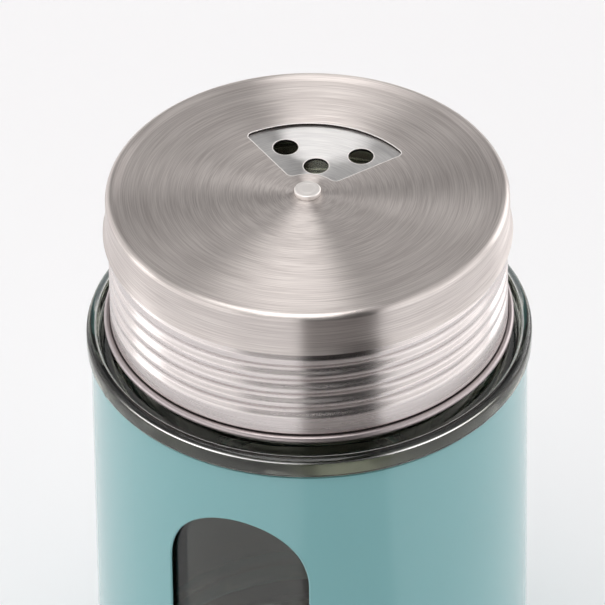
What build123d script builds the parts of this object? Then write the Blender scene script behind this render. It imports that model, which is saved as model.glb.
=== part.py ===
from build123d import *
import os
from math import atan2, cos, degrees, radians, sin

# A spice jar: a glass jar with a screw-on steel lid, standing in a painted steel
# sleeve that has one tall window. On top of the lid a steel dial turns about a
# rivet, and its open sector chooses which of the lid's holes the spice leaves by.
#
# Millimetres, +Z up, the origin on the table under the middle of the jar.
# The sleeve's window faces -Y. Angles are degrees counter-clockwise from +X,
# seen from above.

# Whole jar
overall_height = 100.0  # table to the crown of the dial's rolled edge

# Turning dial, pressed from thin sheet
dial_radius = 29.5
dial_sheet = 0.42
dial_edge_radius = 1.0
dial_crown = 0.2  # the rolled edge stands this far above the flat top
dial_crown_width = 1.5
dial_skirt_height = 6.7
dial_lip_radius = 29.97
dial_flare_height = 1.95

# Open sector of the dial
sector_inner_radius = 4.7
sector_outer_radius = 16.8
sector_sweep = 89.0
sector_middle = 98.0
sector_corner_radius = 0.9

# Screw lid under the dial
dial_gap = 0.25  # air between the dial and the lid's disc
lid_sheet = 0.45
lid_height = 22.1  # disc to the bottom of the curled edge
lid_shoulder_radius = 28.7
lid_corner_radius = 1.2
lid_body_radius = 29.2
lid_step_drop = 6.58  # disc down to where the wall widens
lid_step_height = 0.8
curl_radius = 0.55
curl_reach = 0.9  # how far the curled edge stands out from the wall
lid_clearance = 1.95  # air between the curled edge and the glass shoulder
boss_radius = 3.3  # raised pad that carries the dial around the rivet
boss_gap = 0.05

# Rolled thread, the same pitch in the lid and on the glass
thread_pitch = 2.57
lid_thread_turns = 3.3
lid_thread_end = -19.5  # where its upper end runs out
lid_thread_drop = 8.82  # disc down to the middle of the groove at that end
groove_radius = 0.85
groove_depth = 0.65
ridge_overlap = 0.25  # how deep the inner ridge is rooted in the wall
run_out_turns = 0.12  # each end of a thread fades over this part of a turn
run_out_margin = 0.12
glass_thread_turns = 2.6
glass_thread_height = 0.7
glass_thread_base = 1.5
glass_thread_crest = 0.5
glass_thread_rounding = 0.2
glass_thread_root = 0.4  # how deep its section starts inside the neck

# Holes in the lid's disc, in four settings a quarter turn apart
shaker_hole_radius = 1.85
shaker_outer_pitch_radius = 12.4
shaker_inner_pitch_radius = 7.5
shaker_inner_turn = 2.4  # the inner hole sits this far round from the middle
shaker_half_spread = 27.0
sprinkle_hole_radius = 0.9
sprinkle_rings = 2
sprinkle_inner_holes = 3
sprinkle_inner_pitch_radius = 7.6
sprinkle_ring_spacing = 4.2
sprinkle_step = 20.0
pour_inner_radius = 6.2
pour_outer_radius = 14.2
pour_half_spread = 30.0
pour_corner_radius = 1.2

# Rivet through dial and lid, with its washers
rivet_head_radius = 1.95
rivet_head_height = 0.75
rivet_head_rounding = 0.14
rivet_shank_radius = 1.2
rivet_tail_radius = 1.9
rivet_tail_height = 0.6
rivet_fit = 0.05  # radial running clearance of the dial on the shank
rivet_seat_gap = 0.05  # under the head
spring_washer_radius = 4.0
spring_washer_thickness = 0.3
spring_washer_rise = 0.35
backing_washer_radius = 3.2
backing_washer_thickness = 0.5

# Sealing ring between the lid's disc and the glass
gasket_thickness = 1.2
gasket_outer_radius = 27.4
gasket_inner_radius = 25.3

# Painted sleeve and its base
sleeve_radius = 32.1
sleeve_sheet = 0.5
sleeve_corner_radius = 1.6
sleeve_flange_width = 4.2
sleeve_edge_break = 0.12
window_width = 22.0
window_top_drop = 9.45  # its upper end below the sleeve's top edge
window_bottom_rise = 12.05  # its lower end above the table
base_plate_sheet = 0.5
base_plate_clearance = 0.15
base_plate_rise = 0.6
base_plate_rim_width = 6.0
cushion_thickness = 1.2
cushion_width = 4.4

# Glass jar
jar_clearance = 0.45  # air between the glass body and the sleeve
jar_wall = 2.4
jar_floor = 4.4
jar_foot_radius = 3.2
jar_inner_foot_radius = 4.5
jar_push_up = 1.6
jar_push_up_radius = 22.0
neck_radius = 27.6
neck_wall = 2.6
rim_rounding = 0.9
neck_foot_radius = 0.8
shelf_radius = 29.6
shelf_slope = 0.3
shelf_height = 0.5
bead_radius = 32.75
bead_crest_radius = 31.2
bead_valley_radius = 30.75
bead_valley_depth = 1.75
bead_height = 3.2
bead_gap = 0.45  # air between the bead and the sleeve's top edge
bead_top_rounding = 0.95
bead_crest_rounding = 0.5
bead_under_rounding = 0.55
bead_root_rounding = 0.25
inner_shoulder_drop = 3.2
inner_shoulder_height = 3.6
inner_shoulder_radius = 3.0

# How far a cutter runs past what it cuts
overrun = 1.0

# Heights worked out from the sizes above
dial_top = overall_height - dial_crown
dial_underside = dial_top - dial_sheet
lid_top = dial_underside - dial_gap
lid_underside = lid_top - lid_sheet
jar_rim = lid_underside - gasket_thickness
lid_bottom = lid_top - lid_height
neck_foot = lid_bottom - lid_clearance
shelf_edge = neck_foot - shelf_slope
bead_valley = shelf_edge - shelf_height
bead_crest = bead_valley + bead_valley_depth
bead_bottom = bead_crest - bead_height
sleeve_height = bead_bottom - bead_gap
base_plate_top = sleeve_sheet + base_plate_sheet
jar_foot = base_plate_top + cushion_thickness

# Radii worked out from the sizes above
sleeve_bore = sleeve_radius - sleeve_sheet
jar_radius = sleeve_bore - jar_clearance
dial_bore = rivet_shank_radius + rivet_fit
base_plate_radius = sleeve_radius - sleeve_corner_radius - base_plate_clearance
base_plate_ramp_radius = base_plate_radius - base_plate_rim_width
cushion_inner_radius = base_plate_ramp_radius + base_plate_sheet

# Thread places: the groove's upper end is given, its lower end follows
turn = 360.0
lid_thread_height = lid_thread_turns * thread_pitch
lid_thread_start = lid_thread_end - turn * lid_thread_turns
lid_thread_bottom = lid_top - lid_thread_drop - lid_thread_height
groove_centre_radius = lid_body_radius - groove_depth + groove_radius
glass_thread_bottom = lid_thread_bottom + thread_pitch / 2
glass_thread_flank = (glass_thread_base - glass_thread_crest) / glass_thread_height
glass_thread_root_width = glass_thread_base + glass_thread_flank * glass_thread_root
glass_thread_end = lid_thread_start + turn * glass_thread_turns
glass_thread_top = glass_thread_bottom + glass_thread_turns * thread_pitch
lid_thread_ends = (
    (lid_thread_start, lid_thread_bottom, -1),
    (lid_thread_end, lid_thread_bottom + lid_thread_height, 1),
)
glass_thread_ends = (
    (lid_thread_start, glass_thread_bottom, -1),
    (glass_thread_end, glass_thread_top, 1),
)


def radial_plane(angle, height, up=1):
    """Level plane with its local x pointing outwards at an angle, facing up or down."""
    outwards = (cos(radians(angle)), sin(radians(angle)), 0)
    return Plane(origin=(0, 0, height), x_dir=outwards, z_dir=(0, 0, up))


def thread_bar(shape, turns, radial_change=0):
    """Bar wound up a helix from +X, whose radius may grow or shrink by the change."""
    rise = turns * thread_pitch
    slope = atan2(radial_change, rise)
    with BuildPart() as bar:
        with BuildLine() as path:
            Helix(thread_pitch / cos(slope), rise, neck_radius, cone_angle=degrees(slope))
        sweep(shape.sketch, path=path.wires()[0], is_frenet=True)
    return bar.part


def sector(inner_radius, outer_radius, middle, half_spread, corner_radius):
    """Ring sector with rounded corners, flat in XY."""
    with BuildSketch() as opening:
        with BuildLine():
            outer = CenterArc((0, 0), outer_radius, middle - half_spread, 2 * half_spread)
            inner = CenterArc((0, 0), inner_radius, middle - half_spread, 2 * half_spread)
            Line(inner @ 0, outer @ 0)
            Line(inner @ 1, outer @ 1)
        make_face()
        fillet(opening.vertices(), radius=corner_radius)
    return opening.sketch


# Painted sleeve: a tube whose lower edge turns in as a flange, with a tall window
with BuildPart() as outer_sleeve:
    with BuildSketch(Plane.XZ):
        with BuildLine():
            flange_end = (sleeve_radius - sleeve_flange_width, 0)
            FilletPolyline(
                flange_end,
                (sleeve_radius, 0),
                (sleeve_radius, sleeve_height),
                radius=sleeve_corner_radius,
            )
            offset(amount=sleeve_sheet, side=Side.LEFT)
        make_face()
    revolve(axis=Axis.Z)
    rim_edges = outer_sleeve.edges().group_by(Axis.Z)[-1]
    fillet(rim_edges, radius=sleeve_edge_break)
    window_height = sleeve_height - window_top_drop - window_bottom_rise
    window_middle = window_bottom_rise + window_height / 2
    with BuildSketch(Plane.XZ.offset(sleeve_radius + overrun)):
        with Locations((0, window_middle)):
            SlotOverall(window_height, window_width, rotation=90)
    extrude(amount=-(sleeve_radius + overrun), mode=Mode.SUBTRACT)

# Base plate: a pressed disc that lies on the flange and closes the sleeve
with BuildPart() as base_plate:
    with BuildSketch(Plane.XZ):
        with BuildLine():
            Polyline(
                (0, sleeve_sheet + base_plate_rise),
                (base_plate_ramp_radius - base_plate_rise, sleeve_sheet + base_plate_rise),
                (base_plate_ramp_radius, sleeve_sheet),
                (base_plate_radius, sleeve_sheet),
            )
            offset(amount=base_plate_sheet, side=Side.LEFT, kind=Kind.INTERSECTION)
        make_face()
    revolve(axis=Axis.Z)

# Cushion ring that keeps the glass off the steel base
with BuildPart() as base_cushion:
    with BuildSketch(Plane.XY.offset(base_plate_top)):
        Circle(cushion_inner_radius + cushion_width)
        Circle(cushion_inner_radius, mode=Mode.SUBTRACT)
    extrude(amount=cushion_thickness)

# Section of the moulded thread, standing on the neck
with BuildSketch(Plane.XZ) as glass_thread_shape:
    with BuildLine():
        Polyline(
            (neck_radius - glass_thread_root, -glass_thread_root_width / 2),
            (neck_radius + glass_thread_height, -glass_thread_crest / 2),
            (neck_radius + glass_thread_height, glass_thread_crest / 2),
            (neck_radius - glass_thread_root, glass_thread_root_width / 2),
            close=True,
        )
    make_face()
    fillet(glass_thread_shape.vertices().group_by(Axis.X)[-1], radius=glass_thread_rounding)

# Glass jar: body, beaded shoulder, plain neck with a moulded thread, thick floor
with BuildPart() as glass_jar:
    neck_bore = neck_radius - neck_wall
    body_bore = jar_radius - jar_wall
    floor_top = jar_foot + jar_floor
    inner_shoulder = bead_bottom - inner_shoulder_drop
    with BuildSketch(Plane.XZ):
        with BuildLine():
            foot = TangentArc(
                (0, jar_foot + jar_push_up), (jar_push_up_radius, jar_foot), tangent=(1, 0)
            )
            body = FilletPolyline(
                foot @ 1,
                (jar_radius, jar_foot),
                (jar_radius, bead_bottom),
                (bead_radius, bead_bottom),
                (bead_radius, bead_crest),
                (bead_crest_radius, bead_crest),
                (bead_valley_radius, bead_valley),
                (shelf_radius, shelf_edge),
                (neck_radius, neck_foot),
                (neck_radius, jar_rim),
                (neck_bore, jar_rim),
                (neck_bore, inner_shoulder + inner_shoulder_height),
                (body_bore, inner_shoulder),
                (body_bore, floor_top),
                (0, floor_top),
                radius=[
                    jar_foot_radius,
                    bead_root_rounding,
                    bead_under_rounding,
                    bead_top_rounding,
                    bead_crest_rounding,
                    bead_root_rounding,
                    bead_root_rounding,
                    neck_foot_radius,
                    rim_rounding,
                    rim_rounding,
                    inner_shoulder_radius,
                    inner_shoulder_radius,
                    jar_inner_foot_radius,
                ],
            )
            Line(body @ 1, foot @ 0)
        make_face()
    revolve(axis=Axis.Z)
    with Locations(radial_plane(lid_thread_start, glass_thread_bottom)):
        add(thread_bar(glass_thread_shape, glass_thread_turns))
    for angle, height, up in glass_thread_ends:
        with Locations(radial_plane(angle, height, up)):
            add(thread_bar(glass_thread_shape, run_out_turns, -glass_thread_height - run_out_margin))

# Sealing ring on the glass rim
with BuildPart() as rim_gasket:
    with BuildSketch(Plane.XY.offset(jar_rim)):
        Circle(gasket_outer_radius)
        Circle(gasket_inner_radius, mode=Mode.SUBTRACT)
    extrude(amount=gasket_thickness)

# Sections of the rolled thread: the groove outside and the ridge it raises inside
with BuildSketch(Plane.XZ) as groove_shape:
    with Locations((groove_centre_radius, 0)):
        Circle(groove_radius)
with BuildSketch(Plane.XZ) as ridge_shape:
    with Locations((groove_centre_radius, 0)):
        Circle(groove_radius + lid_sheet)
    with Locations((lid_body_radius - lid_sheet + ridge_overlap, 0)):
        Rectangle(2 * groove_radius, 2 * thread_pitch, align=(Align.MAX, Align.CENTER),
                  mode=Mode.INTERSECT)

# Screw lid: a drawn cup with a rolled thread, a curled edge and holes in its disc
with BuildPart() as screw_lid:
    curl_middle = lid_bottom + curl_radius
    step_top = lid_top - lid_step_drop
    with BuildSketch(Plane.XZ) as lid_section:
        with BuildLine():
            FilletPolyline(
                (0, lid_top),
                (lid_shoulder_radius, lid_top),
                (lid_shoulder_radius, step_top),
                (lid_body_radius, step_top - lid_step_height),
                (lid_body_radius, curl_middle),
                radius=[lid_corner_radius, lid_sheet, lid_sheet + curl_radius],
            )
            offset(amount=lid_sheet, side=Side.RIGHT)
        make_face()
        with Locations((lid_body_radius + curl_reach - curl_radius, curl_middle)):
            Circle(curl_radius)
    revolve(axis=Axis.Z)

    ridge_start = lid_thread_start - turn * run_out_turns
    ridge_bottom = lid_thread_bottom - run_out_turns * thread_pitch
    with Locations(radial_plane(ridge_start, ridge_bottom)):
        add(thread_bar(ridge_shape, lid_thread_turns + 2 * run_out_turns))
    with Locations(radial_plane(lid_thread_start, lid_thread_bottom)):
        add(thread_bar(groove_shape, lid_thread_turns), mode=Mode.SUBTRACT)
    for angle, height, up in lid_thread_ends:
        with Locations(radial_plane(angle, height, up)):
            add(thread_bar(groove_shape, run_out_turns, groove_depth + run_out_margin),
                mode=Mode.SUBTRACT)

    with BuildSketch(Plane.XY.offset(lid_top)):
        Circle(boss_radius)
    extrude(amount=dial_gap - boss_gap)
    with BuildSketch(Plane.XY.offset(lid_top + dial_gap)):
        Circle(rivet_shank_radius)
        with PolarLocations(shaker_outer_pitch_radius, 2, start_angle=sector_middle - shaker_half_spread,
                            angular_range=4 * shaker_half_spread):
            Circle(shaker_hole_radius)
        with PolarLocations(shaker_inner_pitch_radius, 1, start_angle=sector_middle + shaker_inner_turn):
            Circle(shaker_hole_radius)
        for ring in range(sprinkle_rings):
            ring_radius = sprinkle_inner_pitch_radius + ring * sprinkle_ring_spacing
            holes = sprinkle_inner_holes + ring
            first = sector_middle + turn / 4 - sprinkle_step * (holes - 1) / 2
            with PolarLocations(ring_radius, holes, start_angle=first,
                                angular_range=sprinkle_step * holes):
                Circle(sprinkle_hole_radius)
    extrude(amount=-(dial_gap + lid_sheet + overrun), mode=Mode.SUBTRACT)
    with BuildSketch(Plane.XY.offset(lid_top + dial_gap)):
        add(sector(pour_inner_radius, pour_outer_radius, sector_middle - turn / 4,
                   pour_half_spread, pour_corner_radius))
    extrude(amount=-(dial_gap + lid_sheet + overrun), mode=Mode.SUBTRACT)

# Turning dial: a shallow pressed cap with one open sector
with BuildPart() as dial_cap:
    dial_lip = overall_height - dial_skirt_height
    crown_radius = dial_radius - dial_edge_radius
    with BuildSketch(Plane.XZ):
        with BuildLine():
            flat = Line((0, dial_top), (crown_radius - dial_crown_width, dial_top))
            rise = TangentArc(
                flat @ 1,
                (crown_radius - dial_crown_width / 2, dial_top + dial_crown / 2),
                tangent=(1, 0),
            )
            crest = TangentArc(rise @ 1, (crown_radius, overall_height), tangent=rise % 1)
            edge = CenterArc(
                (crown_radius, overall_height - dial_edge_radius), dial_edge_radius, 90, -90
            )
            wall = Line(edge @ 1, (dial_radius, dial_lip + dial_flare_height))
            TangentArc(wall @ 1, (dial_lip_radius, dial_lip), tangent=(0, -1))
            offset(amount=dial_sheet, side=Side.RIGHT)
        make_face()
    revolve(axis=Axis.Z)
    with BuildSketch(Plane.XY.offset(overall_height)):
        Circle(dial_bore)
        add(sector(sector_inner_radius, sector_outer_radius, sector_middle,
                   sector_sweep / 2, sector_corner_radius))
    extrude(amount=-(dial_crown + dial_sheet + overrun), mode=Mode.SUBTRACT)

# Rivet: head over the dial, shank through dial and lid, clinched tail below
with BuildPart() as pivot_rivet:
    head_seat = dial_top + rivet_seat_gap
    spring_top = lid_underside
    spring_bottom = spring_top - spring_washer_rise - spring_washer_thickness
    tail_top = spring_bottom - backing_washer_thickness
    with BuildSketch(Plane.XZ):
        with BuildLine():
            Polyline(
                (0, head_seat + rivet_head_height),
                (rivet_head_radius, head_seat + rivet_head_height),
                (rivet_head_radius, head_seat),
                (rivet_shank_radius, head_seat),
                (rivet_shank_radius, tail_top),
                (rivet_tail_radius, tail_top),
                (rivet_tail_radius, tail_top - rivet_tail_height),
                (0, tail_top - rivet_tail_height),
                close=True,
            )
        make_face()
    revolve(axis=Axis.Z)
    outer_rims = pivot_rivet.edges().filter_by(GeomType.CIRCLE).group_by(Axis.Z)
    fillet(outer_rims[-1], radius=rivet_head_rounding)
    fillet(outer_rims[0], radius=rivet_head_rounding)

# Dished spring washer: it presses up on the lid, so the dial stays where it is set
with BuildPart() as spring_washer:
    with BuildSketch(Plane.XZ):
        with BuildLine():
            Polyline(
                (spring_washer_radius, spring_top),
                (spring_washer_radius, spring_top - spring_washer_thickness),
                (rivet_shank_radius, spring_bottom),
                (rivet_shank_radius, spring_bottom + spring_washer_thickness),
                close=True,
            )
        make_face()
    revolve(axis=Axis.Z)

# Backing washer under the spring, held up by the rivet's tail
with BuildPart() as backing_washer:
    with BuildSketch(Plane.XY.offset(tail_top)):
        Circle(backing_washer_radius)
        Circle(rivet_shank_radius, mode=Mode.SUBTRACT)
    extrude(amount=backing_washer_thickness)

pieces = {
    "outer_sleeve": outer_sleeve,
    "base_plate": base_plate,
    "base_cushion": base_cushion,
    "glass_jar": glass_jar,
    "rim_gasket": rim_gasket,
    "screw_lid": screw_lid,
    "dial_cap": dial_cap,
    "pivot_rivet": pivot_rivet,
    "spring_washer": spring_washer,
    "backing_washer": backing_washer,
}
os.makedirs("parts", exist_ok=True)
for name, piece in pieces.items():
    piece.part.label = name
    export_step(piece.part, f"parts/{name}.step")
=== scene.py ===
# %% [markdown]
# # A spice jar with a dial lid
#
# A glass jar stands in a painted steel sleeve that has one tall window. A steel
# lid screws onto the glass, and a steel dial turns on top of it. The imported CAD
# model is the frame of this lesson: it says where every piece is, and this script
# gives each piece a smooth surface and its finish.

import bmesh
import bpy
import numpy as np
from mathutils import Matrix, Vector
from mathutils.geometry import delaunay_2d_cdt


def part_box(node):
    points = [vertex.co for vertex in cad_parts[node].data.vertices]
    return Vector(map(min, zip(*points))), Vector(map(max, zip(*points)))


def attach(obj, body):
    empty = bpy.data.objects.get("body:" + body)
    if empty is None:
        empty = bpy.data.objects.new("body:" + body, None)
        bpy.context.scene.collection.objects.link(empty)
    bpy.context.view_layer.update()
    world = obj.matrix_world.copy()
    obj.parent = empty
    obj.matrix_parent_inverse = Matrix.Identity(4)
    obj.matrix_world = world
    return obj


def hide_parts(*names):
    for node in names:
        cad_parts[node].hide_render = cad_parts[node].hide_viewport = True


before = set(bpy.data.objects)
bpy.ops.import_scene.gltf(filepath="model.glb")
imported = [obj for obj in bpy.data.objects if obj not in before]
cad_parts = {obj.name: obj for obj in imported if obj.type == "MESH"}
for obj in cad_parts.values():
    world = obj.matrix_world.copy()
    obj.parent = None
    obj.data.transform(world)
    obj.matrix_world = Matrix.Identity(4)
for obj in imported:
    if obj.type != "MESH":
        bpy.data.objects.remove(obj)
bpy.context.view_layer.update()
MM = 0.001
print("CAD nodes:", ", ".join(sorted(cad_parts)))

# %% [markdown]
# ## What the frame says
#
# Every piece is round, so its outer radius and its lowest and highest point say
# most of what there is to know. They are read from the frame in millimetres, and
# the smaller sizes below are the maker's own: sheet thicknesses, corner radii and
# the pitch of the thread.


# %% Measure the round nodes
def span(node):
    """Outer radius, lowest z and highest z of a round node, in millimetres."""
    low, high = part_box(node)
    return (high.x - low.x) / 2 / MM, low.z / MM, high.z / MM


dial_lip_radius, _, dial_crown_z = span("dial_cap")
lid_curl_outer_radius, lid_bottom_z, lid_boss_z = span("screw_lid")
bead_radius, glass_foot_z, glass_rim_z = span("glass_jar")
sleeve_radius, _, sleeve_top_z = span("outer_sleeve")
rivet_head_radius, rivet_tail_z, rivet_head_z = span("pivot_rivet")
print(f"dial {2 * dial_lip_radius:.1f} mm across, jar {dial_crown_z:.1f} mm tall")

# %% [markdown]
# ## The camera
#
# The photograph was taken with a long lens, from 37.5 degrees above the horizon.
# The window of the sleeve faces -Y and shows left of the middle, so the camera
# stands 20.5 degrees round from it. The small pan, tilt and roll put the jar
# where it lies in the frame.

# %% Place the camera
photo_side_px = 605
camera_focal_px = 10231
camera_distance = 1.4876
camera_round = np.radians(20.5)
camera_above = np.radians(37.498)
camera_pan = -0.000618
camera_tilt = -0.010798
camera_roll = np.radians(0.715)


def turn_about(axis, angle):
    """3x3 matrix that turns by an angle about coordinate axis 0, 1 or 2."""
    c, s = np.cos(angle), np.sin(angle)
    i, j = [(1, 2), (2, 0), (0, 1)][axis]
    matrix = np.eye(3)
    matrix[i, i], matrix[i, j], matrix[j, i], matrix[j, j] = c, -s, s, c
    return matrix


right = np.array([1, 0, 0])
forward = np.array([0, np.cos(camera_above), -np.sin(camera_above)])
look = np.stack([right, np.cross(right, forward), forward]) @ turn_about(2, -camera_round)
aim = turn_about(2, camera_roll) @ turn_about(0, camera_tilt) @ turn_about(1, -camera_pan) @ look
target = np.array([0, 0, dial_crown_z * MM])
camera_place = np.eye(4)
camera_place[:3, :3] = np.stack([aim[0], aim[1], -aim[2]], axis=1)
camera_place[:3, 3] = target - camera_distance * look[2]

camera_data = bpy.data.cameras.new("camera")
camera_data.sensor_width = 36
camera_data.lens = camera_data.sensor_width * camera_focal_px / photo_side_px
camera_data.clip_start, camera_data.clip_end = 0.1, 100
camera = bpy.data.objects.new("camera", camera_data)
camera.matrix_world = Matrix(camera_place.tolist())
bpy.context.scene.collection.objects.link(camera)
bpy.context.scene.camera = camera
print(f"lens {camera_data.lens:.0f} mm at {np.round(camera_place[:3, 3], 3)}")

# %% [markdown]
# ## Profiles
#
# A pressed or turned piece is one profile carried round an axis. A profile here is
# a list of (radius, z) points. Corners are rounded by the arc that touches both
# sides, and long straight runs get extra points so that shading stays even.


# %% Tools for profiles
def arc(centre, radius, start, end, steps=9):
    """Points on a circle: centre + radius (cos a, sin a), a going evenly from start to end."""
    angle = np.radians(np.linspace(start, end, steps))
    return np.asarray(centre) + radius * np.stack([np.cos(angle), np.sin(angle)], axis=1)


def polar(radius, angle):
    """The point at a radius and an angle in degrees round the axis."""
    return arc((0, 0), radius, angle, angle, 1)[0]


def rounded(corners, radii, steps=8):
    """Line through the corners, each inner corner replaced by the arc touching both sides."""
    corners = np.asarray(corners, float)
    pieces = [corners[:1]]
    for before, corner, after, radius in zip(corners, corners[1:], corners[2:], radii):
        inward = (before - corner) / np.linalg.norm(before - corner)
        onward = (after - corner) / np.linalg.norm(after - corner)
        half = np.arccos(np.clip(inward @ onward, -1, 1)) / 2
        bisector = (inward + onward) / np.linalg.norm(inward + onward)
        centre = corner + bisector * radius / np.sin(half)
        first = corner + inward * radius / np.tan(half) - centre
        last = corner + onward * radius / np.tan(half) - centre
        sweep = np.pi - 2 * half
        t = np.linspace(0, 1, steps)[:, None]
        pieces.append(centre + (first * np.sin((1 - t) * sweep) + last * np.sin(t * sweep))
                      / np.sin(sweep))
    return np.concatenate(pieces + [corners[-1:]])


def spaced(profile, step):
    """The same line with points added so that no gap is longer than step."""
    gaps = np.linalg.norm(np.diff(profile, axis=0), axis=1)
    keep = np.concatenate([[True], gaps > 1e-6])
    profile, gaps = profile[keep], gaps[keep[1:]]
    parts = np.maximum(np.ceil(gaps / step - 1e-6), 1).astype(int)
    index = np.repeat(np.arange(len(gaps)), parts)
    within = np.arange(parts.sum()) - np.repeat(np.cumsum(parts) - parts, parts)
    t = (within / parts[index])[:, None]
    return np.concatenate([profile[index] * (1 - t) + profile[index + 1] * t, profile[-1:]])


# %% [markdown]
# ## Surfaces
#
# A surface is a grid of points with a row for each profile point and a column for
# each direction round the axis. Flat discs with holes are the exception: there a
# constrained triangulation fills the plate, and strips of quads line each hole.

# %% Tools for surfaces
columns = 288
full_turn = 2 * np.pi


def turned(profile, change=None):
    """Surface of revolution: (r, z) goes to (r cos a, r sin a, z), and change(a, r, z) may move r and z."""
    angle = np.linspace(0, full_turn, columns, endpoint=False)[None, :]
    r, z = profile[:, :1] + 0 * angle, profile[:, 1:] + 0 * angle
    if change:
        r, z = change(angle + 0 * r, r, z)
    return np.stack([r * np.cos(angle), r * np.sin(angle), z], axis=-1)


def quads(rows, cols, closed=True):
    """Corner numbers of a grid's faces, row by row, the last column joined to the first if closed."""
    row = np.arange(rows - 1)[:, None]
    col = np.arange(cols if closed else cols - 1)[None, :]
    following = (col + 1) % cols
    corners = [row * cols + col, (row + 1) * cols + col, (row + 1) * cols + following, row * cols + following]
    return np.stack(corners, axis=-1)


def patch(points, finish=0, keep=None, closed=True):
    """Grid of points as (points, faces, finish number); keep says which faces stay."""
    faces = quads(points.shape[0], points.shape[1], closed)
    faces = faces[keep] if keep is not None else faces.reshape(-1, 4)
    return points.reshape(-1, 3), faces.tolist(), finish


def plate(outline, holes, z, up=True, finish=0):
    """Flat plate at height z: the outline filled with triangles, leaving the holes out."""
    loops = [outline] + holes
    flat = np.concatenate(loops)
    starts = np.cumsum([0] + [len(loop) for loop in loops])
    rings = [list(range(a, b)) for a, b in zip(starts, starts[1:])]
    corners, _, triangles, _, _, sources = delaunay_2d_cdt([Vector(p) for p in flat], [], rings, 1, 1e-7)
    inside = [t if up else t[::-1] for t, source in zip(triangles, sources) if source == [0]]
    points = np.array([(p.x, p.y, z) for p in corners])
    return points, inside, finish


def grown(loop, by):
    """The closed loop moved outwards by a distance along its own normals."""
    along = np.roll(loop, -1, axis=0) - np.roll(loop, 1, axis=0)
    outwards = np.stack([along[:, 1], -along[:, 0]], axis=1)
    return loop + by * outwards / np.linalg.norm(outwards, axis=1, keepdims=True)


def hole_wall(loop, top, bottom, chamfer):
    """Strips that line a hole from top to bottom: a chamfer (finish 1), the wall (finish 2: near-black,
    painted shade), a chamfer.
    """
    wide_loop, drop = grown(loop, chamfer), chamfer / 4
    levels = [(wide_loop, top), (loop, top - drop), (loop, bottom + drop), (wide_loop, bottom)]
    rows = np.stack([np.column_stack([ring[::-1], np.full(len(ring), z)]) for ring, z in levels])
    return [patch(rows[row:row + 2], finish) for row, finish in enumerate([1, 2, 1])]


def piece(name, patches, body, finishes, replaces, sharp=32):
    """Object made of patches whose shared edges are welded, riding on its body."""
    points = np.concatenate([p for p, _, _ in patches])
    starts = np.cumsum([0] + [len(p) for p, _, _ in patches])
    faces = [[corner + start for corner in face] for start, (_, fs, _) in zip(starts, patches) for face in fs]
    numbers = np.repeat([finish for _, _, finish in patches], [len(fs) for _, fs, _ in patches])
    mesh = bpy.data.meshes.new(name)
    mesh.from_pydata((points * MM).tolist(), [], faces)
    mesh.polygons.foreach_set("material_index", numbers.astype(np.int32))
    weld = bmesh.new()
    weld.from_mesh(mesh)
    bmesh.ops.remove_doubles(weld, verts=weld.verts, dist=1e-4 * MM)
    weld.to_mesh(mesh)
    weld.free()
    mesh.shade_smooth()
    mesh.set_sharp_from_angle(angle=np.radians(sharp))
    for finish in finishes:
        mesh.materials.append(finish)
    made = bpy.data.objects.new(name, mesh)
    bpy.context.scene.collection.objects.link(made)
    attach(made, body)
    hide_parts(*replaces)
    print(f"{name}: {len(mesh.polygons)} faces")


def circle(radius, centre=(0, 0), count=columns):
    """Closed loop of evenly spaced points round a centre."""
    angle = np.linspace(0, full_turn, count, endpoint=False)
    return np.asarray(centre) + radius * np.stack([np.cos(angle), np.sin(angle)], axis=1)


def sector(inner, outer, middle, half, corner):
    """Closed loop round a ring sector: two arcs, two radial sides and four rounded corners."""
    outer_turn = half - np.degrees(np.arcsin(corner / (outer - corner)))
    inner_turn = half - np.degrees(np.arcsin(corner / (inner + corner)))
    outer_centre = polar(outer - corner, outer_turn)
    inner_centre = polar(inner + corner, inner_turn)
    upper = np.concatenate([
        arc((0, 0), outer, 0, outer_turn, 25)[:-1],
        arc(outer_centre, corner, outer_turn, half + 90)[:-1],
        arc(inner_centre, corner, half + 90, inner_turn + 180)[:-1],
        arc((0, 0), inner, inner_turn, 0, 13),
    ])
    loop = np.concatenate([upper, (upper * (1, -1))[-2:0:-1]])
    return loop @ turn_about(2, np.radians(middle))[:2, :2].T


print("one turn is", columns, "columns")

# %% [markdown]
# ## Shader maths
#
# A material is a graph of nodes. Writing it out node by node hides what it means,
# so one small class wraps a socket and lets Python write sums of sockets. The
# class adds the Math nodes, and its node method adds any other kind.


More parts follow.
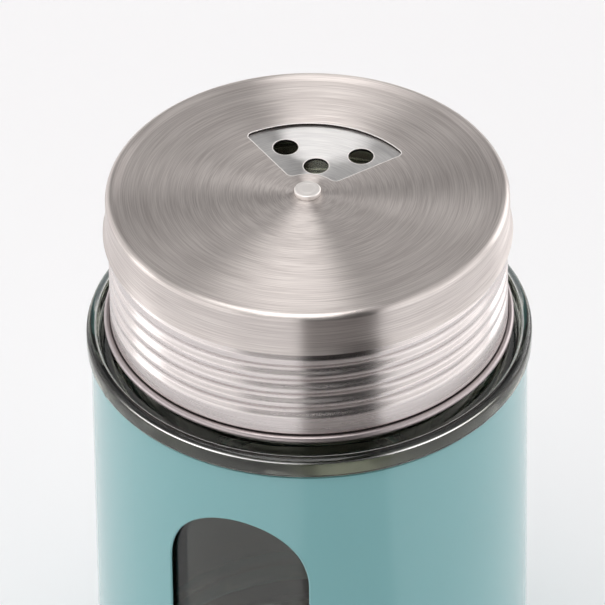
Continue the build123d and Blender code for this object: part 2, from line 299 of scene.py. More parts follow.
# %% Signals
class Signal:
    """A socket of a node tree. Sums, products and powers of signals add Math nodes."""

    def __init__(self, tree, socket=None):
        self.tree, self.socket = tree, socket

    def node(self, kind, settings=None, inputs=None, output=0):
        """New node: settings come first, ramp stops among them, then its sockets' values or links."""
        node = self.tree.nodes.new(kind)
        for key, value in (settings or {}).items():
            if key == "stops":
                for element, (place, colour) in zip(node.color_ramp.elements, value):
                    element.position, element.color = place, colour
            else:
                setattr(node, key, value)
        for key, value in (inputs or {}).items():
            if isinstance(value, Signal):
                self.tree.links.new(value.socket, node.inputs[key])
            else:
                node.inputs[key].default_value = value
        return Signal(self.tree, node.outputs[output] if node.outputs else None)

    def maths(self, operation, *values):
        return self.node("ShaderNodeMath", {"operation": operation}, dict(enumerate(values)))

    def __add__(self, other):
        return self.maths("ADD", self, other)

    def __sub__(self, other):
        return self.maths("SUBTRACT", self, other)

    def __mul__(self, other):
        return self.maths("MULTIPLY", self, other)

    def __truediv__(self, other):
        return self.maths("DIVIDE", self, other)

    def __rsub__(self, other):
        return self.maths("SUBTRACT", other, self)

    def __pow__(self, other):
        return self.maths("POWER", self, other)

    __radd__ = __add__
    __rmul__ = __mul__

    def between(self, low, high, at_low=0.0, at_high=1.0):
        """Goes smoothly from at_low to at_high as the signal goes from low to high."""
        return self.node("ShaderNodeMapRange", {"interpolation_type": "SMOOTHSTEP"},
                         {0: self, 1: low, 2: high, 3: at_low, 4: at_high})

    def split(self):
        """The three numbers of a vector."""
        parts = self.node("ShaderNodeSeparateXYZ", {}, {0: self}).socket.node
        return [Signal(self.tree, socket) for socket in parts.outputs]

    def vector(self, x, y, z):
        return self.node("ShaderNodeCombineXYZ", {}, {0: x, 1: y, 2: z})

    def noise(self, at, scale=1.0, detail=2.0, roughness=0.5):
        return self.node("ShaderNodeTexNoise", {}, {"Vector": at, "Scale": scale, "Detail": detail,
                                                    "Roughness": roughness})

    def mixed(self, factor, first, second):
        """Colour that goes from first to second with the factor."""
        return self.node("ShaderNodeMix", {"data_type": "RGBA"}, {0: factor, 6: first, 7: second}, output=2)

    def bump(self, height, depth, strength=1.0):
        """Normal bent by a height signal whose 1 stands for a depth in metres."""
        return self.node("ShaderNodeBump", {}, {"Height": height, "Distance": depth, "Strength": strength})


def finish(name, recipe):
    """Material whose Principled sockets get what recipe(shade) returns."""
    material = bpy.data.materials.new(name)
    material.use_nodes = True
    material.node_tree.nodes.clear()
    shade = Signal(material.node_tree)
    surface = shade.node("ShaderNodeBsdfPrincipled", {}, recipe(shade))
    shade.node("ShaderNodeOutputMaterial", {}, {"Surface": surface})
    return material


def round_place(shade):
    """Object coordinates in millimetres as radius, height and the unit direction from the axis."""
    x, y, z = shade.node("ShaderNodeTexCoord", output="Object").split()
    radius = (x * x + y * y) ** 0.5
    safe = shade.maths("MAXIMUM", radius, 1e-5)
    return radius / MM, z / MM, x / safe, y / safe


# %% [markdown]
# ## Brushed stainless steel
#
# The dial was brushed while it spun, so its scratches are circles and its
# highlights are fans that open from the middle. The anisotropic socket gives the
# fans, and noise that is very long round the axis and very short across it gives
# the scratches. The distance across the brushing is radius minus height, which
# grows steadily over the top and on down the side. The lid, its disc, its curled
# edge and the cut edges of the holes each have a tint and roughness of their own.
# The walls of the holes and the crease above the curl are near-black steel, which
# is painted shade. The curl's darker tint is painted shade too.


# %% Stainless finishes
def colour(red, green, blue):
    return (red, green, blue, 1.0)


def brushed(tint, dark_tint, roughness, fans):
    """Recipe of circular brushed steel: line noise drives colour, roughness and a fine bump."""
    def recipe(shade):
        radius, height, round_x, round_y = round_place(shade)
        across = radius - height
        fine = shade.noise(shade.vector(across * 6.0, round_x * 3.0, round_y * 3.0), detail=3.0)
        broad = shade.noise(shade.vector(across * 0.9, round_x * 1.2, round_y * 1.2), detail=2.0)
        lines = fine * 0.75 + broad * 0.25
        rim = radius.between(*rim_radii) * height.between(*[dial_crown_z - drop for drop in rim_drops])
        return {
            "Base Color": shade.mixed(lines.between(0.3, 0.7), dark_tint, tint),
            "Metallic": 1.0,
            "Roughness": (roughness - 0.05 + 0.1 * broad) * (1.0 - 0.2 * rim),
            "Anisotropic": fans,
            "Anisotropic Rotation": 0.25,
            "Normal": shade.bump(fine, brushed_line_depth),
        }
    return recipe


brushed_line_depth = 2e-6
rim_radii, rim_drops = (28.5, 28.7), (1.0, 0.8)
steel_pale = colour(0.82, 0.765, 0.735)
steel_dark = colour(0.60, 0.545, 0.525)
disc_pale, disc_dark = colour(0.82, 0.81, 0.80), colour(0.66, 0.65, 0.65)
lid_pale, lid_dark = colour(0.80, 0.75, 0.74), colour(0.66, 0.61, 0.60)
brushed_dial = finish("brushed_dial", brushed(steel_pale, steel_dark, roughness=0.36, fans=1.0))
brushed_disc = finish("brushed_disc", brushed(disc_pale, disc_dark, roughness=0.39, fans=1.0))
brushed_lid = finish("brushed_lid", brushed(lid_pale, lid_dark, roughness=0.27, fans=0.85))


def polished_recipe(shade):
    """Recipe of turned and polished steel with faint rings."""
    radius, height, _, _ = round_place(shade)
    rings = shade.noise(shade.vector(radius * 5.0, height * 5.0, 0.0), detail=2.0)
    return {
        "Base Color": shade.mixed(rings, colour(0.90, 0.86, 0.84), colour(1.0, 0.97, 0.94)),
        "Metallic": 1.0,
        "Roughness": 0.42 + 0.12 * rings,
        "Normal": shade.bump(rings, 4e-6),
    }


polished_steel = finish("polished_steel", polished_recipe)


def plain_steel(tint, roughness):
    """Recipe of bare steel with a fine mottle."""
    def recipe(shade):
        mottle = shade.noise(shade.node("ShaderNodeTexCoord", output="Object"), scale=1800.0)
        return {
            "Base Color": shade.mixed(mottle, tint, colour(*[0.8 * part for part in tint[:3]])),
            "Metallic": 1.0,
            "Roughness": roughness + 0.1 * mottle,
        }
    return recipe


# The near-black steel is painted shade: it lines the walls of the holes, the boss's bore and the crease above
# the lid's curl.
cut_edge = finish("cut_edge", plain_steel(colour(1.0, 0.97, 0.95), 0.6))
painted_shade_steel = finish("painted_shade_steel", plain_steel(colour(0.06, 0.05, 0.05), 0.5))
# The curl's darker tint is painted shade under the lid's edge.
shaded_curl_steel = finish("shaded_curl_steel", plain_steel(colour(0.54, 0.48, 0.485), 0.3))


def bare_recipe(shade):
    """Recipe of plain rolled sheet with a fine grain, as inside the sleeve."""
    place = shade.node("ShaderNodeTexCoord", output="Object")
    grain = shade.noise(place, scale=2600.0, detail=3.0)
    cloud = shade.noise(place, scale=120.0, detail=3.0)
    return {
        "Base Color": shade.mixed(cloud, colour(0.66, 0.66, 0.66), colour(0.88, 0.88, 0.87)),
        "Metallic": 1.0,
        "Roughness": 0.34 + 0.16 * grain,
        "Normal": shade.bump(grain, 8e-6),
    }


bare_steel = finish("bare_steel", bare_recipe)

# %% [markdown]
# ## Paint, glass and rubber
#
# The sleeve is sprayed: a smooth pale teal with a clear gloss and the faintest
# orange peel. The glass is thick and slightly green, with long gentle waves that
# bend what is behind it. Thin metallic rings draw the bright lines that light
# leaves in the real bead. The soft parts are matt.


# %% Paint, glass and rubber finishes
def paint_recipe(shade):
    place = shade.node("ShaderNodeTexCoord", output="Object")
    peel = shade.noise(place, scale=900.0, detail=2.0)
    cloud = shade.noise(place, scale=30.0, detail=2.0)
    return {
        "Base Color": shade.mixed(cloud, teal_deep, teal_light),
        "Roughness": 0.36 + 0.06 * cloud,
        "Coat Weight": 1.0,
        "Coat Roughness": 0.12,
        "Normal": shade.bump(peel, 2e-6),
    }


def glass_recipe(shade):
    """Recipe of thick glass with painted highlights, bright metallic rings: two on the bead's crest, the
    outer one only in front, and one in its valley away from the front. Its darker tint between the crest's
    two and under the bead is painted shade."""
    place = shade.node("ShaderNodeTexCoord", output="Object")
    waves = shade.noise(place, scale=90.0, detail=2.0)
    radius, height, round_x, round_y = round_place(shade)
    facing = round_x * float(np.sin(camera_round)) - round_y * float(np.cos(camera_round))
    in_front = facing.between(*front_facing)
    on_crest = height.between(crest_line_z - 0.05, crest_line_z)
    in_valley = height.between(*[crest_line_z - drop for drop in valley_line_drops])
    # Darker tint low on the bead, above the sleeve: painted shadow.
    low_on_bead = height.between(*[sleeve_top_z + rise for rise in under_bead_rises], 1.0, 0.0)
    under_bead_shadow = low_on_bead * radius.between(*under_bead_radii)
    inner_line, outer_line, valley_line = [
        shade.maths("ABSOLUTE", radius - line).between(*bead_line_edges, 1.0, 0.0) * shown
        for line, shown in zip(bead_line_radii, (on_crest, on_crest * in_front, in_valley * (1.0 - in_front)))
    ]
    lines = inner_line + outer_line + valley_line
    # Darker band on the crest between its two rings: painted shade.
    crest = radius.between(*crest_starts) * radius.between(*crest_ends, 1.0, 0.0) * on_crest
    clear = shade.mixed(under_bead_shadow + crest, glass_tint, shaded_glass_tint)
    return {
        "Base Color": shade.mixed(lines, clear, painted_highlight_tint),
        "Metallic": lines,
        "Roughness": (0.02 + 0.02 * waves + 0.2 * outer_line + (0.5 + 0.4 * in_front) * inner_line
                      + 0.4 * valley_line),
        "IOR": 1.52,
        "Transmission Weight": 1.0,
        "Normal": shade.bump(waves, 3e-5),
    }


def rubber(tint, worn_tint):
    """Recipe of a matt moulded rubber with a fine speckle."""
    def recipe(shade):
        speckle = shade.noise(shade.node("ShaderNodeTexCoord", output="Object"), scale=1500.0, detail=3.0)
        return {
            "Base Color": shade.mixed(speckle, tint, worn_tint),
            "Roughness": 0.6 + 0.2 * speckle,
            "Normal": shade.bump(speckle, 1e-5),
        }
    return recipe


teal_deep, teal_light = colour(0.168, 0.410, 0.430), colour(0.192, 0.445, 0.462)
glass_tint, shaded_glass_tint = colour(0.86, 0.88, 0.80), colour(0.15, 0.17, 0.17)
# Tint of the bead's bright rings, which are painted highlights.
painted_highlight_tint = colour(0.95, 0.95, 0.95)
front_facing = (0.5, 0.85)
crest_line_rise = 3.1
crest_line_z = sleeve_top_z + crest_line_rise
crest_starts, crest_ends = (31.55, 31.7), (32.3, 32.45)
valley_line_drops = (1.7, 1.6)
under_bead_rises, under_bead_radii = (0.5, 1.1), (31.9, 32.2)
bead_line_radii = [31.45, 32.6, 30.8]
bead_line_edges = (0.04, 0.08)
teal_paint = finish("teal_paint", paint_recipe)
clear_glass = finish("clear_glass", glass_recipe)
pale_silicone = finish("pale_silicone", rubber(colour(0.72, 0.72, 0.70), colour(0.80, 0.80, 0.78)))
dark_rubber = finish("dark_rubber", rubber(colour(0.03, 0.03, 0.03), colour(0.06, 0.06, 0.06)))

# %% [markdown]
# ## The dial
#
# The dial is a shallow cap pressed from one disc. Its flat top rises a hair
# towards the rim, the rim is rolled over a small radius, and the skirt flares at
# the lip. Both sides of the sheet are the same line at two distances, so one
# function makes them. The flat middle is a plate with two holes: the open sector
# and the bore for the rivet.

# %% Make the dial
edge_chamfer = 0.16
dial_sheet = 0.42
dial_wall_radius = 29.5
dial_edge_radius = 1.0
dial_crown_rise = 0.2
dial_crown_width = 1.5
dial_skirt_height = 6.7
dial_flare_height = 1.95
dial_plate_radius = 20.0
dial_bore = 1.25
dial_lip_rounding = 0.12
dial_top_z = dial_crown_z - dial_crown_rise
dial_sector = dict(inner=4.7, outer=16.8, middle=98.0, half=44.5, corner=0.9)


def dial_side(inset):
    """One side of the dial's sheet, from the plate out and down to the lip."""
    crown_radius = dial_wall_radius - dial_edge_radius
    t = np.linspace(0, 1, 13)
    rise = np.stack([
        crown_radius - dial_crown_width * (1 - t),
        dial_top_z - inset + dial_crown_rise * (1 - np.cos(np.pi * t)) / 2,
    ], axis=1)
    edge = arc((crown_radius, dial_crown_z - dial_edge_radius), dial_edge_radius - inset, 90, 0, 17)
    flare_out = dial_lip_radius - dial_wall_radius
    flare_radius = (flare_out ** 2 + dial_flare_height ** 2) / (2 * flare_out)
    flare_turn = np.degrees(np.arcsin(dial_flare_height / flare_radius))
    flare_start = dial_crown_z - dial_skirt_height + dial_flare_height
    flare = arc((dial_wall_radius + flare_radius, flare_start), flare_radius + inset, 180, 180 + flare_turn)
    start = [(dial_plate_radius, dial_top_z - inset)]
    return np.concatenate([start, rise, edge[1:], flare])


outside, inside = dial_side(0), dial_side(dial_sheet)
lip = rounded([outside[-2], outside[-1], inside[-1], inside[-2]], [dial_lip_rounding, dial_lip_rounding])
dial_profile = np.concatenate([outside[:-1], lip[1:-1], inside[-2::-1]])
dial_holes = [circle(dial_bore, count=64), sector(**dial_sector)]
dial_mouths = [grown(loop, edge_chamfer) for loop in dial_holes]
dial_under_z = dial_top_z - dial_sheet
piece(
    "dial",
    [
        patch(turned(spaced(dial_profile, step=1.2))),
        plate(circle(dial_plate_radius), dial_mouths, dial_top_z),
        plate(circle(dial_plate_radius), dial_mouths, dial_under_z, up=False),
        *[strip for loop in dial_holes for strip in hole_wall(loop, dial_top_z, dial_under_z, edge_chamfer)],
    ],
    "dial", [brushed_dial, cut_edge, painted_shade_steel], ["dial_cap"],
)

# %% [markdown]
# ## The screw lid
#
# The lid is a drawn cup. Rollers press a helical groove into its side, which
# shows as ribs outside and as the thread inside, and the lower edge is curled
# outwards. The groove is a smooth dip that follows the helix: at every point of
# the side, the distance to the nearest turn of the helix gives the depth.

# %% Make the screw lid
lid_sheet = 0.45
lid_shoulder_radius = 28.7
lid_body_radius = 29.2
lid_corner_radius = 1.2
lid_step_drop = 6.58
lid_step_height = 0.8
lid_plate_radius = 24.0
lid_boss_rise = 0.2
lid_boss_radius = 3.3
boss_foot_spread = 0.12
boss_bore_radius = 1.2
lid_step_rounding = 0.4
curl_tuck = 0.1
curl_tuck_rounding = 0.2
curl_radius = 0.55
thread_pitch = 2.57
thread_turns = 3.3
thread_end = np.radians(-19.5)
thread_drop = 8.82
groove_depth = 0.62
groove_half_width = 1.12
groove_run_out = 0.12 * full_turn
lid_top_z = lid_boss_z - lid_boss_rise
thread_top_z = lid_top_z - thread_drop


def helix_dip(angle, z, first, last, top_z, half_width, run_out):
    """0 to 1: 1 on the nearest turn of a helix, falling as (1 - s^2)^2 across it and to 0 at its ends."""
    climb = thread_pitch / full_turn
    turns_down = np.round((top_z - z + (angle - last) * climb) / thread_pitch)
    turned_to = angle - turns_down * full_turn
    offset = z - (top_z + (turned_to - last) * climb)
    shape = np.clip(1 - (offset / half_width) ** 2, 0, 1) ** 2
    starting = np.clip((turned_to - first + run_out) / run_out, 0, 1)
    ending = np.clip((last + run_out - turned_to) / run_out, 0, 1)
    fade = starting * ending
    return shape * fade ** 2 * (3 - 2 * fade)


def rolled(angle, r, z):
    """Side of the lid with its rolled groove: the radius shrinks by the groove's depth."""
    first = thread_end - thread_turns * full_turn
    dip = helix_dip(angle, z, first, thread_end, thread_top_z, groove_half_width, groove_run_out)
    return r - groove_depth * dip * (r > lid_plate_radius), z


def lid_side(inset):
    """One side of the lid's sheet, from the plate out and down to the curled edge."""
    step_z = lid_top_z - lid_step_drop
    corners = [
        (lid_plate_radius, lid_top_z - inset),
        (lid_shoulder_radius - inset, lid_top_z - inset),
        (lid_shoulder_radius - inset, step_z - inset / 3),
        (lid_body_radius - inset, step_z - lid_step_height - inset / 3),
        (lid_body_radius - inset, curl_middle_z + curl_lift),
    ]
    return rounded(corners, [lid_corner_radius - inset / 2, lid_step_rounding, lid_step_rounding])


curl_middle_z = lid_bottom_z + curl_radius
curl_centre = (lid_curl_outer_radius - curl_radius, curl_middle_z)
curl_lift = np.sqrt(curl_radius ** 2 - (curl_centre[0] - lid_body_radius) ** 2)
curl_start = 180 - np.degrees(np.arcsin(curl_lift / curl_radius))
curl = arc(curl_centre, curl_radius, curl_start, -130, 25)
lid_inner = lid_body_radius - lid_sheet
curl_end = rounded(
    [curl[-1], (lid_inner, curl_middle_z - curl_tuck), (lid_inner, curl_middle_z + curl_lift)],
    [curl_tuck_rounding])
lid_under_z = lid_top_z - lid_sheet
shaker_hole_radius = 1.85
shaker_places = [(12.4, 71), (12.4, 125), (7.5, 100.4)]
shaker_holes = [circle(shaker_hole_radius, polar(*place), count=48) for place in shaker_places]
sprinkle_hole_radius = 0.9
sprinkle_ring_radius = 7.6
sprinkle_ring_spacing = 4.2
sprinkle_middle = 188
sprinkle_step = 20
sprinkle_holes = [
    circle(sprinkle_hole_radius,
           polar(sprinkle_ring_radius + sprinkle_ring_spacing * ring,
                 sprinkle_middle + sprinkle_step * place),
           count=32)
    for ring, places in enumerate([(-1, 0, 1), (-1.5, -0.5, 0.5, 1.5)])
    for place in places
]
pour_hole = sector(inner=6.2, outer=14.2, middle=8.0, half=30.0, corner=1.2)
disc_holes = [*shaker_holes, *sprinkle_holes, pour_hole]
disc_mouths = [grown(loop, edge_chamfer) for loop in disc_holes]
boss = circle(lid_boss_radius, count=96)
boss_foot = grown(boss, boss_foot_spread)
boss_bore = circle(boss_bore_radius, count=48)
lid_outside = turned(spaced(lid_side(0), step=0.16), rolled)
# The last rows of the side above the curl take finish 2, the near-black steel: painted shade in the crease.
crease_rows = 2
piece(
    "lid",
    [
        patch(lid_outside[:-crease_rows]),
        patch(lid_outside[-crease_rows - 1:], finish=2),
        patch(turned(np.concatenate([curl, curl_end[1:]])), finish=3),
        patch(turned(spaced(lid_side(lid_sheet), step=0.26)[::-1], rolled)),
        plate(circle(lid_plate_radius), disc_mouths + [boss_foot], lid_top_z, finish=4),
        plate(circle(lid_plate_radius), disc_mouths + [boss_bore], lid_under_z, up=False),
        plate(boss, [boss_bore], lid_boss_z),
        patch(np.stack([np.column_stack([boss, np.full(len(boss), lid_boss_z)]),
                        np.column_stack([boss_foot, np.full(len(boss), lid_top_z)])])),
        patch(np.stack([np.column_stack([boss_bore[::-1], np.full(len(boss_bore), z)])
                        for z in (lid_boss_z, lid_under_z)]), finish=2),
        *[strip for loop in disc_holes for strip in hole_wall(loop, lid_top_z, lid_under_z, edge_chamfer)],
    ],
    "lid", [brushed_lid, cut_edge, painted_shade_steel, shaded_curl_steel, brushed_disc], ["screw_lid"],
)

# %% [markdown]
# ## The rivet
#
# The rivet's head is a small button with a softened edge and a faint ring that
# its die left on top. The shank and tail are under the dial, out of sight, but
# they are part of the same turned piece.

# %% Make the rivet
rivet_shank_radius = 1.2
rivet_head_height = 0.75
rivet_tail_height = 0.6
rivet_tail_radius = 1.9
die_ring_inner, die_ring_middle, die_ring_outer = 1.05, 1.2, 1.35
die_ring_depth = 0.03
die_ring_rounding = 0.15
head_rim_radius = 1.4
head_roundings = [0.22, 0.06]
tail_roundings = [0.1, 0.2]
head_seat_z = rivet_head_z - rivet_head_height
tail_top_z = rivet_tail_z + rivet_tail_height
rivet_profile = np.concatenate([
    [(0, rivet_head_z)],
    rounded([(die_ring_inner, rivet_head_z), (die_ring_middle, rivet_head_z - die_ring_depth),
             (die_ring_outer, rivet_head_z)], [die_ring_rounding]),
    rounded([(head_rim_radius, rivet_head_z), (rivet_head_radius, rivet_head_z),
             (rivet_head_radius, head_seat_z), (rivet_shank_radius, head_seat_z)], head_roundings),
    [(rivet_shank_radius, tail_top_z)],
    rounded([(rivet_shank_radius, tail_top_z), (rivet_tail_radius, tail_top_z),
             (rivet_tail_radius, rivet_tail_z), (0, rivet_tail_z)], tail_roundings),
])
piece("rivet", [patch(turned(spaced(rivet_profile, step=0.3)))], "lid",
      [polished_steel], ["pivot_rivet"])

# %% [markdown]
# ## The glass jar
#
# The jar is moulded in two halves, so a fine seam runs up both sides. Its
# shoulder is a thick bead that hangs over the sleeve, with a shallow valley and
# a shelf inside it. The glass is one closed skin: up the inside, over the rim and
# down the outside. The CAD glass has a moulded thread round its neck, which is
# missing here: the neck's straight run is one strip with no rows to move.

# %% Make the glass jar
glass_wall = 2.4
glass_floor = 4.4
glass_radius = 31.15
neck_radius = 27.6
neck_bore = 25.0
bead_gap = 0.45
bead_height = 3.2
bead_crest_radius = 31.2
bead_valley_radius = 30.75
bead_valley_depth = 1.75
shelf_radius = 29.6
shelf_height = 0.5
shelf_slope = 0.3
inner_shoulder_drop = 3.2
inner_shoulder_height = 3.6
push_up_radius = 22.0
push_up_height = 1.6
bead_bottom_z = sleeve_top_z + bead_gap
bead_crest_z = bead_bottom_z + bead_height
bead_valley_z = bead_crest_z - bead_valley_depth
shelf_z = bead_valley_z + shelf_height
neck_foot_z = shelf_z + shelf_slope
body_bore = glass_radius - glass_wall
glass_floor_z = glass_foot_z + glass_floor
shoulder_z = bead_bottom_z - inner_shoulder_drop
thread_zone_z = neck_foot_z + 1
glass_thread_height = 0.7
glass_thread_half_width = 0.85
glass_thread_turns = 2.6
seam_half_width = 0.4
seam_height = 0.2
seam_from_camera = 65.0
bead_waves = [(0.02, 5, 0.7), (0.015, 11, 2.1), (0.01, 23, 0.0)]


def moulded(angle, r, z):
    """Outside of the glass: seams run up two sides and the bead waves. The thread would stand on the
    neck, but no row of points lies between thread_zone_z and the rim, so it doesn't show yet."""
    first = thread_end - thread_turns * full_turn
    last = first + glass_thread_turns * full_turn
    top_z = thread_top_z - (thread_turns - glass_thread_turns) * thread_pitch + thread_pitch / 2
    thread = helix_dip(angle, z, first, last, top_z, glass_thread_half_width, groove_run_out)
    on_neck = (z > thread_zone_z) & (r > neck_radius - 0.01)
    seam_gap = np.abs(np.sin(angle - seam_angle)) * r / seam_half_width
    seam = np.clip(1 - seam_gap ** 2, 0, 1) * (z < neck_foot_z)
    wave = sum(size * np.sin(count * angle + shift) for size, count, shift in bead_waves)
    on_bead = (z > bead_bottom_z - 0.5) & (z < neck_foot_z)
    return r + glass_thread_height * thread * on_neck + seam_height * seam, z + wave * on_bead


seam_angle = camera_round - np.pi / 2 - np.radians(seam_from_camera)
glass_corners = [
    (0, glass_floor_z),
    (body_bore, glass_floor_z),
    (body_bore, shoulder_z),
    (neck_bore, shoulder_z + inner_shoulder_height),
    (neck_bore, glass_rim_z),
    (neck_radius, glass_rim_z),
    (neck_radius, neck_foot_z),
    (shelf_radius, shelf_z),
    (bead_valley_radius, bead_valley_z),
    (bead_crest_radius, bead_crest_z),
    (bead_radius, bead_crest_z),
    (bead_radius, bead_bottom_z),
    (glass_radius, bead_bottom_z),
    (glass_radius, glass_foot_z),
    (push_up_radius, glass_foot_z),
]
corner_roundings = [4.5, 3.0, 3.0, 0.9, 0.9, 0.8, 0.25, 0.25, 0.5, 0.95, 0.55, 0.25, 3.2]
glass_line = rounded(glass_corners, corner_roundings)
inner_rows = np.argmax(glass_line[:, 1])
inside_line, outside_line = glass_line[:inner_rows + 1], glass_line[inner_rows:]
push_up = np.stack([np.linspace(push_up_radius, 0, 13),
                    glass_foot_z + push_up_height * (1 - np.linspace(1, 0, 13) ** 2)], axis=1)
neck_rows = spaced(outside_line[outside_line[:, 1] > thread_zone_z], step=0.17)
lower_line = spaced(outside_line[outside_line[:, 1] <= thread_zone_z], step=3.0)
piece(
    "glass",
    [
        patch(turned(spaced(inside_line, step=3.0))),
        patch(turned(neck_rows, moulded)),
        patch(turned(np.concatenate([neck_rows[-1:], lower_line]), moulded)),
        patch(turned(push_up)),
    ],
    "jar", [clear_glass], ["glass_jar"],
)

# %% [markdown]
# ## The painted sleeve
#
# The sleeve is a rolled tube with a tall window punched through it, and its lower
# edge turns in as a flange. The wall is a grid with a block of faces left out
# round the window. A frame of faces fills the block: its outer line is the
# block's edge and its inner line is the window's outline, point for point.

# %% Make the sleeve
sleeve_sheet = 0.5
sleeve_corner_radius = 1.6
flange_inner_radius = 27.95
flange_rounding = 0.1
sleeve_lip_rounding = 0.12
sleeve_lip_depth = 1
window_width = 22.0
window_top_drop = 9.45
window_top_z = sleeve_top_z - window_top_drop
window_bottom_z = 12.05
window_chamfer = 0.18
sleeve_angles = np.linspace(0, full_turn, columns, endpoint=False) - np.pi / 2
block_half_columns = 27
block_margin = 4.0
block_low_z, block_high_z = window_bottom_z - block_margin, window_top_z + block_margin
block_z = np.linspace(block_low_z, block_high_z, 41)
wall_bore = sleeve_radius - sleeve_sheet


def stadium(share, half_width, low, high):
    """Points round an upright stadium at shares of its length, from the middle of its lower end."""
    run = high - low - 2 * half_width
    quarter = np.pi / 2 * half_width
    s = share * (4 * quarter + 2 * run)
    bend_low = np.clip(s / half_width, 0, np.pi / 2)
    climb = np.clip(s - quarter, 0, run)
    bend_high = np.clip((s - quarter - run) / half_width, 0, np.pi)
    drop = np.clip(s - 3 * quarter - run, 0, run)
    bend_last = np.clip((s - 3 * quarter - 2 * run) / half_width, 0, np.pi / 2)
    turn = bend_low + bend_high + bend_last
    u = half_width * np.sin(turn)
    v = low + half_width - half_width * np.cos(turn) + climb - drop
    return np.stack([u, v], axis=1)


def on_tube(u, v, radius):
    """Unrolled place (u round the front, v up) wrapped on a tube; u is measured at the outer radius."""
    angle = u / sleeve_radius - np.pi / 2
    return np.stack([radius * np.cos(angle), radius * np.sin(angle), v], axis=-1)


across = np.arange(-block_half_columns, block_half_columns + 1) * full_turn / columns * sleeve_radius
bottom_side = np.stack([across, np.full(len(across), block_low_z)], axis=1)
right_side = np.stack([np.full(len(block_z), across[-1]), block_z], axis=1)
rim = np.concatenate([bottom_side[block_half_columns:-1], right_side[:-1],
                      (bottom_side + (0, block_high_z - block_low_z))[::-1][:-1],
                      (right_side * (-1, 1))[::-1][:-1], bottom_side[:block_half_columns]])
steps = np.linalg.norm(np.diff(rim, axis=0, append=rim[:1]), axis=1)
share = np.concatenate([[0], np.cumsum(steps)[:-1]]) / steps.sum()
window = stadium(share, window_width / 2, window_bottom_z, window_top_z)
mouth = grown(window, window_chamfer)


def window_frame(radius, inwards):
    """Faces between the block's edge and the window's mouth, on one side of the sheet."""
    blend = np.linspace(0, 1, 7)[:, None, None]
    flat = rim * (1 - blend) + mouth * blend
    flat = flat[::-1] if inwards else flat
    return patch(on_tube(flat[..., 0], flat[..., 1], radius), finish=1 if inwards else 0)


def window_wall():
    """The cut edge of the window, from the painted side to the bare side."""
    rings = [(mouth, sleeve_radius), (window, sleeve_radius - window_chamfer),
             (window, wall_bore + window_chamfer), (mouth, wall_bore)]
    return patch(np.stack([on_tube(loop[:, 0], loop[:, 1], radius) for loop, radius in rings]), finish=2)


outer_line = rounded(
    [(wall_bore, sleeve_top_z - sleeve_lip_depth), (wall_bore, sleeve_top_z), (sleeve_radius, sleeve_top_z),
     (sleeve_radius, block_high_z)], [sleeve_lip_rounding, sleeve_lip_rounding])
foot_line = rounded(
    [(sleeve_radius, block_low_z), (sleeve_radius, 0), (flange_inner_radius, 0),
     (flange_inner_radius, sleeve_sheet), (wall_bore, sleeve_sheet), (wall_bore, block_low_z)],
    [sleeve_corner_radius, flange_rounding, flange_rounding, sleeve_corner_radius - sleeve_sheet])
inner_top = np.array([(wall_bore, block_high_z), (wall_bore, sleeve_top_z - sleeve_lip_depth)])


def tube(profile):
    """Profile carried round from the front, so that column 0 faces the window."""
    r, z = profile[:, :1], profile[:, 1:]
    return np.stack([r * np.cos(sleeve_angles), r * np.sin(sleeve_angles), z + 0 * sleeve_angles], axis=-1)


column = np.arange(columns)
beside = (column >= block_half_columns) & (column < columns - block_half_columns)
block_keep = np.tile(beside, (len(block_z) - 1, 1))
outer_block = np.stack([np.full(len(block_z), sleeve_radius), block_z[::-1]], axis=1)
inner_block = np.stack([np.full(len(block_z), wall_bore), block_z], axis=1)
piece(
    "sleeve",
    [
        patch(tube(spaced(outer_line, step=2.0))),
        patch(tube(outer_block), keep=block_keep),
        patch(tube(spaced(foot_line, step=2.0))),
        patch(tube(inner_block), finish=1, keep=block_keep),
        patch(tube(spaced(inner_top, step=2.0)), finish=1),
        window_frame(sleeve_radius, inwards=False),
        window_frame(wall_bore, inwards=True),
        window_wall(),
    ],
    "sleeve", [teal_paint, bare_steel, teal_paint], ["outer_sleeve"],
)

# %% [markdown]
# ## The hidden pieces
#
# The base plate, the cushion, the gasket and the two washers already have the
# right shape in the CAD model, so they keep it and only get a finish.

# %% Finish the CAD pieces that stay
hidden = {
    "base_plate": bare_steel,
    "base_cushion": dark_rubber,
    "rim_gasket": pale_silicone,
    "spring_washer": polished_steel,
    "backing_washer": polished_steel,
}
for node, finish_of_node in hidden.items():
    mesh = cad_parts[node].data
    mesh.materials.clear()
    mesh.materials.append(finish_of_node)
    print(node, "is", finish_of_node.name)

# %% [markdown]
# ## The studio
#
# The jar stands on a pale floor under a soft studio sky. The sky is a function of
# direction: an even glow, a soft box overhead, one on each side, a low strip of
# light beside each, and a pale horizon. A darker quarter towards the camera is what
# the steel shows as its dark stripe, so reflections of the floor have it too, and
# there it is darkest far from the jar.


# %% Floor and sky
def box_light(first, first_range, second, second_range, softness):
    """1 inside a range of two signals, falling to 0 over the softness outside it."""
    def band(signal, low, high):
        return signal.between(low - softness, low) * signal.between(high, high + softness, 1.0, 0.0)
    return band(first, *first_range) * band(second, *second_range)


def turned_to_camera(signal, x, y):
    """Sideways and backwards shares of a direction, and its azimuth from the camera in degrees."""
    cos_round, sin_round = float(np.cos(camera_round)), float(np.sin(camera_round))
    side = x * cos_round + y * sin_round
    back = y * cos_round - x * sin_round
    return side, back, signal.maths("ARCTAN2", side, back * -1.0) * (180 / np.pi)


quarter_azimuths = (-2.0, 34.0)
quarter_softness = 6.0
quarter_distances = (0.13, 0.22)
quarter_top = (56.0, 62.0)
quarter_tints = (colour(0.42, 0.40, 0.40), colour(0.06, 0.055, 0.055))
paper_tints = (colour(0.910, 0.908, 0.925), colour(0.920, 0.918, 0.935))


def dark_quarter(azimuth):
    """1 in the quarter towards the camera; the band times itself draws its soft edges in a little."""
    return box_light(azimuth, quarter_azimuths, azimuth, quarter_azimuths, quarter_softness)


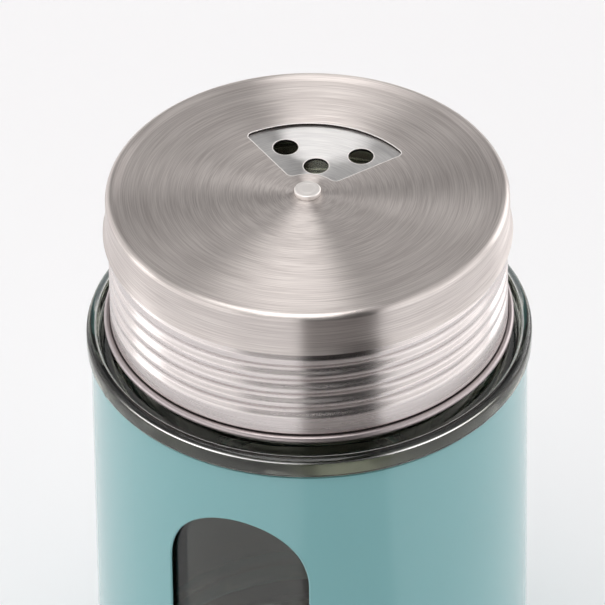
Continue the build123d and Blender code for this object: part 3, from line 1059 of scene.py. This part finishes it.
def floor_recipe(shade):
    """Recipe of pale paper; mirrored rays alone see the dark quarter, darkest far from the jar."""
    place = shade.node("ShaderNodeTexCoord", output="Object")
    cloud = shade.noise(place, scale=6.0, detail=2.0)
    x, y, _ = place.split()
    quarter = dark_quarter(turned_to_camera(shade, x, y)[2])
    mirrored = shade.node("ShaderNodeLightPath", output="Is Glossy Ray")
    paper = shade.mixed(cloud, *paper_tints)
    distance = shade.maths("SQRT", x * x + y * y)
    dark = shade.mixed(distance.between(*quarter_distances), *quarter_tints)
    return {
        "Base Color": shade.mixed(quarter * mirrored, paper, dark),
        "Roughness": 0.9,
    }


floor_half = 6.0
floor_mesh = bpy.data.meshes.new("floor")
floor_mesh.from_pydata([(x, y, 0) for x in (-floor_half, floor_half) for y in (-floor_half, floor_half)], [],
                       [(0, 2, 3, 1)])
floor_mesh.materials.append(finish("pale_floor", floor_recipe))
floor = bpy.data.objects.new("floor", floor_mesh)
bpy.context.scene.collection.objects.link(floor)


world = bpy.data.worlds.new("studio")
world.use_nodes = True
world.node_tree.nodes.clear()
sky = Signal(world.node_tree)
x, y, z = sky.node("ShaderNodeTexCoord", output="Generated").split()
side, back, azimuth = turned_to_camera(sky, x, y)
high_enough = sky.maths("MAXIMUM", z, 0.05)
elevation = sky.maths("ARCSINE", z) * (180 / np.pi)
overhead = box_light(side / high_enough, (-0.36, 0.16), back / high_enough, (-0.6, 0.45), 0.03)
left_box = box_light(azimuth, (-85.0, -45.0), elevation, (12.0, 60.0), 12.0)
right_box = box_light(azimuth, (50.0, 100.0), elevation, (12.0, 60.0), 12.0)
left_strip = box_light(azimuth, (-102.0, -92.0), elevation, (-2.0, 26.0), 8.0)
right_strip = box_light(azimuth, (118.0, 142.0), elevation, (-2.0, 26.0), 8.0)
back_sides = box_light(sky.maths("ABSOLUTE", azimuth), (105.0, 150.0), elevation, (25.0, 65.0), 8.0)
horizon = elevation.between(12.0, 22.0, 1.0, 0.0)
quarter = dark_quarter(azimuth) * elevation.between(*quarter_top, 1.0, 0.0)
glow = 0.22 + 2.65 * overhead + 0.6 * left_box + 0.62 * right_box + 0.6 * back_sides
glow = (glow + 1.25 * left_strip + 1.4 * right_strip + 1.1 * horizon) * (1.0 - 0.97 * quarter)
background = sky.node("ShaderNodeBackground", {}, {"Color": colour(1.0, 0.985, 0.975), "Strength": glow})
sky.node("ShaderNodeOutputWorld", {}, {"Surface": background})
bpy.context.scene.world = world
bpy.context.scene.view_settings.view_transform = "Standard"
